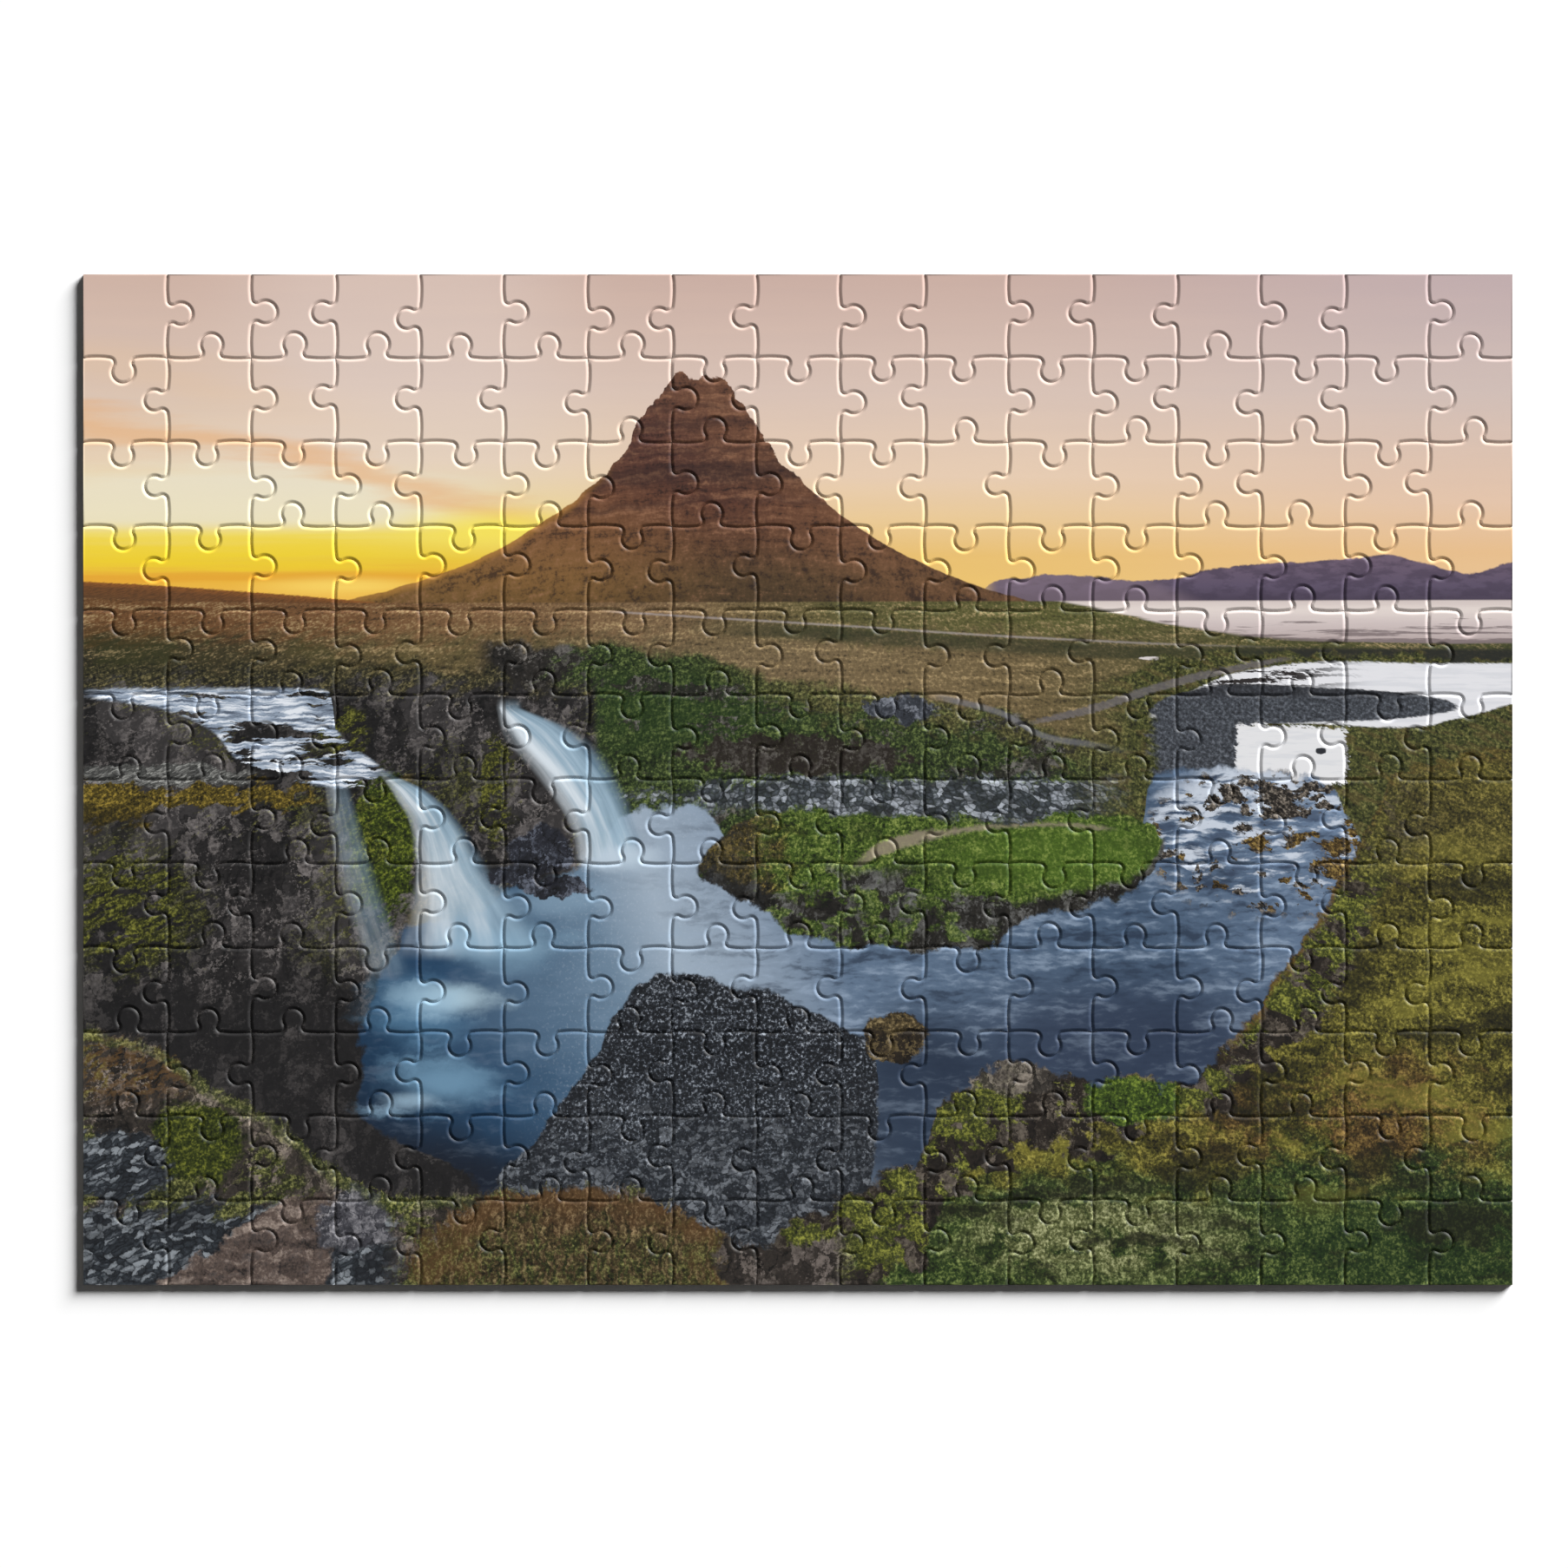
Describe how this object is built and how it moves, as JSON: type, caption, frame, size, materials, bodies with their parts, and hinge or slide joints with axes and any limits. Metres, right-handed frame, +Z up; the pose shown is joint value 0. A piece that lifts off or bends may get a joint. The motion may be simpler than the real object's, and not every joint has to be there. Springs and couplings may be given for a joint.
{
  "type": "jigsaw puzzle",
  "caption": "Picture jigsaw puzzle of 204 interlocking cardboard pieces, lying assembled, with a printed landscape of a peak, a lake plain and waterfalls.",
  "frame": {"origin": "centre of the assembled sheet, on its underside", "axes": "+X along the sheet's long side, +Y towards the top of the picture, +Z up out of the printed face"},
  "size_m": [0.42, 0.297, 0.002],
  "materials": {
    "sky_print": "satin",
    "valley_print": "satin",
    "bank_print": "satin"
  },
  "bodies": {
    "bank_strip_01": {"bank_strip_01": "bank_print"},
    "bank_strip_02": {"bank_strip_02": "bank_print"},
    "bank_strip_03": {"bank_strip_03": "bank_print"},
    "bank_strip_04": {"bank_strip_04": "bank_print"},
    "bank_strip_05": {"bank_strip_05": "bank_print"},
    "bank_strip_06": {"bank_strip_06": "bank_print"},
    "bank_strip_07": {"bank_strip_07": "bank_print"},
    "bank_strip_08": {"bank_strip_08": "bank_print"},
    "bank_strip_09": {"bank_strip_09": "bank_print"},
    "bank_strip_10": {"bank_strip_10": "bank_print"},
    "bank_strip_11": {"bank_strip_11": "bank_print"},
    "bank_strip_12": {"bank_strip_12": "bank_print"},
    "bank_strip_13": {"bank_strip_13": "bank_print"},
    "bank_strip_14": {"bank_strip_14": "bank_print"},
    "bank_strip_15": {"bank_strip_15": "bank_print"},
    "bank_strip_16": {"bank_strip_16": "bank_print"},
    "bank_strip_17": {"bank_strip_17": "bank_print"},
    "corner_bottom_left": {"corner_bottom_left": "bank_print"},
    "corner_bottom_right": {"corner_bottom_right": "bank_print"},
    "corner_top_left": {"corner_top_left": "sky_print"},
    "corner_top_right": {"corner_top_right": "sky_print"},
    "sky_strip_01": {"sky_strip_01": "sky_print"},
    "sky_strip_02": {"sky_strip_02": "sky_print"},
    "sky_strip_03": {"sky_strip_03": "sky_print"},
    "sky_strip_04": {"sky_strip_04": "sky_print"},
    "sky_strip_05": {"sky_strip_05": "sky_print"},
    "sky_strip_06": {"sky_strip_06": "sky_print"},
    "sky_strip_07": {"sky_strip_07": "sky_print"},
    "sky_strip_08": {"sky_strip_08": "sky_print"},
    "sky_strip_09": {"sky_strip_09": "sky_print"},
    "sky_strip_10": {"sky_strip_10": "sky_print"},
    "sky_strip_11": {"sky_strip_11": "sky_print"},
    "sky_strip_12": {"sky_strip_12": "sky_print"},
    "sky_strip_13": {"sky_strip_13": "sky_print"},
    "sky_strip_14": {"sky_strip_14": "sky_print"},
    "sky_strip_15": {"sky_strip_15": "sky_print"},
    "sky_strip_16": {"sky_strip_16": "sky_print"},
    "sky_strip_17": {"sky_strip_17": "sky_print"},
    "valley_strip_01": {"valley_strip_01": "valley_print"},
    "valley_strip_02": {"valley_strip_02": "valley_print"},
    "valley_strip_03": {"valley_strip_03": "valley_print"},
    "valley_strip_04": {"valley_strip_04": "valley_print"},
    "valley_strip_05": {"valley_strip_05": "valley_print"},
    "valley_strip_06": {"valley_strip_06": "valley_print"},
    "valley_strip_07": {"valley_strip_07": "valley_print"},
    "valley_strip_08": {"valley_strip_08": "valley_print"},
    "valley_strip_09": {"valley_strip_09": "valley_print"},
    "valley_strip_10": {"valley_strip_10": "valley_print"},
    "valley_strip_11": {"valley_strip_11": "valley_print"},
    "valley_strip_12": {"valley_strip_12": "valley_print"},
    "valley_strip_13": {"valley_strip_13": "valley_print"},
    "valley_strip_14": {"valley_strip_14": "valley_print"},
    "valley_strip_15": {"valley_strip_15": "valley_print"},
    "valley_strip_16": {"valley_strip_16": "valley_print"},
    "valley_strip_17": {"valley_strip_17": "valley_print"}
  },
  "joints": [
    {"name": "bank_strip_01_lift", "type": "slide", "parent": "valley_strip_09", "child": "bank_strip_01", "axis": [0, 0, 1], "range_m": [0, 0.02]},
    {"name": "bank_strip_02_lift", "type": "slide", "parent": "valley_strip_09", "child": "bank_strip_02", "axis": [0, 0, 1], "range_m": [0, 0.02]},
    {"name": "bank_strip_03_lift", "type": "slide", "parent": "valley_strip_09", "child": "bank_strip_03", "axis": [0, 0, 1], "range_m": [0, 0.02]},
    {"name": "bank_strip_04_lift", "type": "slide", "parent": "valley_strip_09", "child": "bank_strip_04", "axis": [0, 0, 1], "range_m": [0, 0.02]},
    {"name": "bank_strip_05_lift", "type": "slide", "parent": "valley_strip_09", "child": "bank_strip_05", "axis": [0, 0, 1], "range_m": [0, 0.02]},
    {"name": "bank_strip_06_lift", "type": "slide", "parent": "valley_strip_09", "child": "bank_strip_06", "axis": [0, 0, 1], "range_m": [0, 0.02]},
    {"name": "bank_strip_07_lift", "type": "slide", "parent": "valley_strip_09", "child": "bank_strip_07", "axis": [0, 0, 1], "range_m": [0, 0.02]},
    {"name": "bank_strip_08_lift", "type": "slide", "parent": "valley_strip_09", "child": "bank_strip_08", "axis": [0, 0, 1], "range_m": [0, 0.02]},
    {"name": "bank_strip_09_lift", "type": "slide", "parent": "valley_strip_09", "child": "bank_strip_09", "axis": [0, 0, 1], "range_m": [0, 0.02]},
    {"name": "bank_strip_10_lift", "type": "slide", "parent": "valley_strip_09", "child": "bank_strip_10", "axis": [0, 0, 1], "range_m": [0, 0.02]},
    {"name": "bank_strip_11_lift", "type": "slide", "parent": "valley_strip_09", "child": "bank_strip_11", "axis": [0, 0, 1], "range_m": [0, 0.02]},
    {"name": "bank_strip_12_lift", "type": "slide", "parent": "valley_strip_09", "child": "bank_strip_12", "axis": [0, 0, 1], "range_m": [0, 0.02]},
    {"name": "bank_strip_13_lift", "type": "slide", "parent": "valley_strip_09", "child": "bank_strip_13", "axis": [0, 0, 1], "range_m": [0, 0.02]},
    {"name": "bank_strip_14_lift", "type": "slide", "parent": "valley_strip_09", "child": "bank_strip_14", "axis": [0, 0, 1], "range_m": [0, 0.02]},
    {"name": "bank_strip_15_lift", "type": "slide", "parent": "valley_strip_09", "child": "bank_strip_15", "axis": [0, 0, 1], "range_m": [0, 0.02]},
    {"name": "bank_strip_16_lift", "type": "slide", "parent": "valley_strip_09", "child": "bank_strip_16", "axis": [0, 0, 1], "range_m": [0, 0.02]},
    {"name": "bank_strip_17_lift", "type": "slide", "parent": "valley_strip_09", "child": "bank_strip_17", "axis": [0, 0, 1], "range_m": [0, 0.02]},
    {"name": "corner_bottom_left_lift", "type": "slide", "parent": "valley_strip_09", "child": "corner_bottom_left", "axis": [0, 0, 1], "range_m": [0, 0.02]},
    {"name": "corner_bottom_right_lift", "type": "slide", "parent": "valley_strip_09", "child": "corner_bottom_right", "axis": [0, 0, 1], "range_m": [0, 0.02]},
    {"name": "corner_top_left_lift", "type": "slide", "parent": "valley_strip_09", "child": "corner_top_left", "axis": [0, 0, 1], "range_m": [0, 0.02]},
    {"name": "corner_top_right_lift", "type": "slide", "parent": "valley_strip_09", "child": "corner_top_right", "axis": [0, 0, 1], "range_m": [0, 0.02]},
    {"name": "sky_strip_01_lift", "type": "slide", "parent": "valley_strip_09", "child": "sky_strip_01", "axis": [0, 0, 1], "range_m": [0, 0.02]},
    {"name": "sky_strip_02_lift", "type": "slide", "parent": "valley_strip_09", "child": "sky_strip_02", "axis": [0, 0, 1], "range_m": [0, 0.02]},
    {"name": "sky_strip_03_lift", "type": "slide", "parent": "valley_strip_09", "child": "sky_strip_03", "axis": [0, 0, 1], "range_m": [0, 0.02]},
    {"name": "sky_strip_04_lift", "type": "slide", "parent": "valley_strip_09", "child": "sky_strip_04", "axis": [0, 0, 1], "range_m": [0, 0.02]},
    {"name": "sky_strip_05_lift", "type": "slide", "parent": "valley_strip_09", "child": "sky_strip_05", "axis": [0, 0, 1], "range_m": [0, 0.02]},
    {"name": "sky_strip_06_lift", "type": "slide", "parent": "valley_strip_09", "child": "sky_strip_06", "axis": [0, 0, 1], "range_m": [0, 0.02]},
    {"name": "sky_strip_07_lift", "type": "slide", "parent": "valley_strip_09", "child": "sky_strip_07", "axis": [0, 0, 1], "range_m": [0, 0.02]},
    {"name": "sky_strip_08_lift", "type": "slide", "parent": "valley_strip_09", "child": "sky_strip_08", "axis": [0, 0, 1], "range_m": [0, 0.02]},
    {"name": "sky_strip_09_lift", "type": "slide", "parent": "valley_strip_09", "child": "sky_strip_09", "axis": [0, 0, 1], "range_m": [0, 0.02]},
    {"name": "sky_strip_10_lift", "type": "slide", "parent": "valley_strip_09", "child": "sky_strip_10", "axis": [0, 0, 1], "range_m": [0, 0.02]},
    {"name": "sky_strip_11_lift", "type": "slide", "parent": "valley_strip_09", "child": "sky_strip_11", "axis": [0, 0, 1], "range_m": [0, 0.02]},
    {"name": "sky_strip_12_lift", "type": "slide", "parent": "valley_strip_09", "child": "sky_strip_12", "axis": [0, 0, 1], "range_m": [0, 0.02]},
    {"name": "sky_strip_13_lift", "type": "slide", "parent": "valley_strip_09", "child": "sky_strip_13", "axis": [0, 0, 1], "range_m": [0, 0.02]},
    {"name": "sky_strip_14_lift", "type": "slide", "parent": "valley_strip_09", "child": "sky_strip_14", "axis": [0, 0, 1], "range_m": [0, 0.02]},
    {"name": "sky_strip_15_lift", "type": "slide", "parent": "valley_strip_09", "child": "sky_strip_15", "axis": [0, 0, 1], "range_m": [0, 0.02]},
    {"name": "sky_strip_16_lift", "type": "slide", "parent": "valley_strip_09", "child": "sky_strip_16", "axis": [0, 0, 1], "range_m": [0, 0.02]},
    {"name": "sky_strip_17_lift", "type": "slide", "parent": "valley_strip_09", "child": "sky_strip_17", "axis": [0, 0, 1], "range_m": [0, 0.02]},
    {"name": "valley_strip_01_lift", "type": "slide", "parent": "valley_strip_09", "child": "valley_strip_01", "axis": [0, 0, 1], "range_m": [0, 0.02]},
    {"name": "valley_strip_02_lift", "type": "slide", "parent": "valley_strip_09", "child": "valley_strip_02", "axis": [0, 0, 1], "range_m": [0, 0.02]},
    {"name": "valley_strip_03_lift", "type": "slide", "parent": "valley_strip_09", "child": "valley_strip_03", "axis": [0, 0, 1], "range_m": [0, 0.02]},
    {"name": "valley_strip_04_lift", "type": "slide", "parent": "valley_strip_09", "child": "valley_strip_04", "axis": [0, 0, 1], "range_m": [0, 0.02]},
    {"name": "valley_strip_05_lift", "type": "slide", "parent": "valley_strip_09", "child": "valley_strip_05", "axis": [0, 0, 1], "range_m": [0, 0.02]},
    {"name": "valley_strip_06_lift", "type": "slide", "parent": "valley_strip_09", "child": "valley_strip_06", "axis": [0, 0, 1], "range_m": [0, 0.02]},
    {"name": "valley_strip_07_lift", "type": "slide", "parent": "valley_strip_09", "child": "valley_strip_07", "axis": [0, 0, 1], "range_m": [0, 0.02]},
    {"name": "valley_strip_08_lift", "type": "slide", "parent": "valley_strip_09", "child": "valley_strip_08", "axis": [0, 0, 1], "range_m": [0, 0.02]},
    {"name": "valley_strip_10_lift", "type": "slide", "parent": "valley_strip_09", "child": "valley_strip_10", "axis": [0, 0, 1], "range_m": [0, 0.02]},
    {"name": "valley_strip_11_lift", "type": "slide", "parent": "valley_strip_09", "child": "valley_strip_11", "axis": [0, 0, 1], "range_m": [0, 0.02]},
    {"name": "valley_strip_12_lift", "type": "slide", "parent": "valley_strip_09", "child": "valley_strip_12", "axis": [0, 0, 1], "range_m": [0, 0.02]},
    {"name": "valley_strip_13_lift", "type": "slide", "parent": "valley_strip_09", "child": "valley_strip_13", "axis": [0, 0, 1], "range_m": [0, 0.02]},
    {"name": "valley_strip_14_lift", "type": "slide", "parent": "valley_strip_09", "child": "valley_strip_14", "axis": [0, 0, 1], "range_m": [0, 0.02]},
    {"name": "valley_strip_15_lift", "type": "slide", "parent": "valley_strip_09", "child": "valley_strip_15", "axis": [0, 0, 1], "range_m": [0, 0.02]},
    {"name": "valley_strip_16_lift", "type": "slide", "parent": "valley_strip_09", "child": "valley_strip_16", "axis": [0, 0, 1], "range_m": [0, 0.02]},
    {"name": "valley_strip_17_lift", "type": "slide", "parent": "valley_strip_09", "child": "valley_strip_17", "axis": [0, 0, 1], "range_m": [0, 0.02]}
  ]
}
